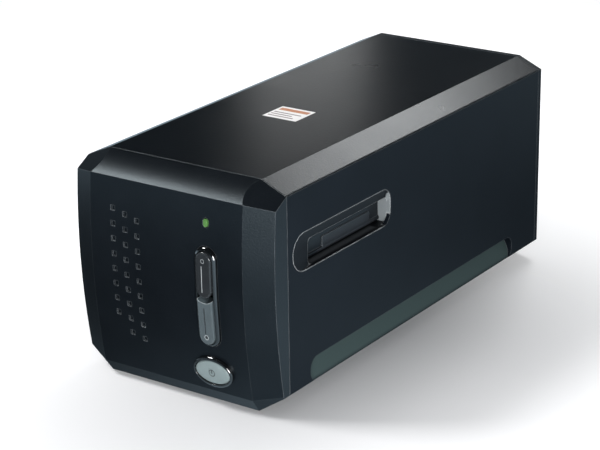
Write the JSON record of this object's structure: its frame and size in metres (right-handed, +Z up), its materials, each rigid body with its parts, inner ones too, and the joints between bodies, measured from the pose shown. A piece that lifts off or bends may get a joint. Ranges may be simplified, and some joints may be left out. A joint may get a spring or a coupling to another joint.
{
  "type": "film negative scanner",
  "caption": "Long desktop film scanner: eight-sided housing, faceted front cap with keys, sprung doors in both side slots and a motor-driven optical carriage inside.",
  "frame": {"origin": "on the table, midway along the housing's width and depth", "axes": "+Z up, -Y out of the front panel, +X to the right as seen from the front"},
  "size_m": [0.12, 0.272, 0.119],
  "materials": {
    "shell_plastic": "fine textured moulded plastic, near black, slightly bluish",
    "cover_plastic": "fine textured moulded plastic, dark grey",
    "frame_plastic": "satin moulded plastic",
    "door_plastic": "satin moulded plastic",
    "gloss_black": "polished moulded plastic",
    "key_black": "polished moulded plastic",
    "key_silver": "satin silver-grey plastic",
    "green_light": "clear green light pipe",
    "guide_plastic": "moulded plastic",
    "carriage_plastic": "glass-filled moulded plastic",
    "white_plastic": "self-lubricating plastic",
    "diffuser": "milky plastic",
    "steel": "ground steel",
    "zinc_sheet": "zinc-plated sheet",
    "black_screws": "black zinc",
    "bronze": "sintered bronze",
    "brass": "machined brass",
    "mirror_glass": "front-surface mirror",
    "lens_black": "black anodised",
    "lens_glass": "coated lens glass",
    "circuit_board": "green solder mask",
    "chip_black": "moulded chip packages",
    "socket_black": "moulded plastic",
    "rubber": "soft rubber"
  },
  "bodies": {
    "housing": {"base_shell": "shell_plastic", "top_cover": "cover_plastic", "front_bezel": "shell_plastic", "rear_panel": "shell_plastic", "slot_frame_right": "frame_plastic", "slot_frame_left": "frame_plastic", "hinge_pins": "steel", "door_springs": "steel", "key_surround": "gloss_black", "power_ring": "gloss_black", "status_light": "green_light", "key_board": "circuit_board", "key_switches": "chip_black", "film_guide": "guide_plastic", "chassis": "guide_plastic", "guide_rods": "steel", "screw_bearings": "bronze", "motor": "zinc_sheet", "main_board": "circuit_board", "board_chips": "chip_black", "usb_socket": "zinc_sheet", "power_socket": "socket_black", "rubber_feet": "rubber", "case_screws": "black_screws", "chassis_screws": "black_screws", "board_screws": "black_screws"},
    "upper_key": {"scan_key_upper": "key_black"},
    "lower_key": {"scan_key_lower": "key_silver"},
    "power_button": {"power_key": "key_silver"},
    "right_door": {"dust_door_right": "door_plastic"},
    "left_door": {"dust_door_left": "door_plastic"},
    "carriage": {"carriage_frame": "carriage_plastic", "rod_bushes": "bronze", "lamp_arm": "carriage_plastic", "lamp_bar": "zinc_sheet", "lamp_diffuser": "diffuser", "fold_mirror": "mirror_glass", "lens_barrel": "lens_black", "lens_glass": "lens_glass", "lens_clamp": "zinc_sheet", "sensor_board": "circuit_board", "line_sensor": "chip_black", "drive_nut": "white_plastic"},
    "screw": {"drive_screw": "steel", "drive_gear": "white_plastic"},
    "pinion": {"motor_shaft": "steel", "motor_pinion": "brass"}
  },
  "joints": [
    {"name": "upper_key_press", "type": "slide", "parent": "housing", "child": "upper_key", "axis": [0, 1, 0], "range_m": [0, 0.0008], "stiffness_N_per_m": 900, "springref_m": -0.0008},
    {"name": "lower_key_press", "type": "slide", "parent": "housing", "child": "lower_key", "axis": [0, 0.9972, 0.0748], "range_m": [0, 0.0008], "stiffness_N_per_m": 900, "springref_m": -0.0008},
    {"name": "power_key_press", "type": "slide", "parent": "housing", "child": "power_button", "axis": [0, 0.9882, 0.1531], "range_m": [0, 0.0008], "stiffness_N_per_m": 900, "springref_m": -0.0008},
    {"name": "right_door_hinge", "type": "hinge", "parent": "housing", "child": "right_door", "pos_m": [0.0522, -0.0598, 0.0729], "axis": [0, -1, 0], "range_deg": [0, 85], "stiffness_Nm_per_rad": 0.004, "springref_deg": -17.19},
    {"name": "left_door_hinge", "type": "hinge", "parent": "housing", "child": "left_door", "pos_m": [-0.0522, -0.0598, 0.0729], "axis": [0, 1, 0], "range_deg": [0, 85], "stiffness_Nm_per_rad": 0.004, "springref_deg": -17.19},
    {"name": "carriage_slide", "type": "slide", "parent": "housing", "child": "carriage", "axis": [0, 1, 0], "range_m": [0, 0.026]},
    {"name": "screw_spin", "type": "hinge", "parent": "housing", "child": "screw", "pos_m": [0, 0.05, 0.0293], "axis": [0, 1, 0], "range_deg": [0, 2345]},
    {"name": "pinion_spin", "type": "hinge", "parent": "housing", "child": "pinion", "pos_m": [0, 0.108, 0.0462], "axis": [0, 1, 0], "range_deg": [-5862, 0]}
  ],
  "couplings": [
    {"joint": "screw_spin", "follows": "carriage_slide", "rad_per_m": 1570.8},
    {"joint": "pinion_spin", "follows": "carriage_slide", "rad_per_m": -3927}
  ]
}
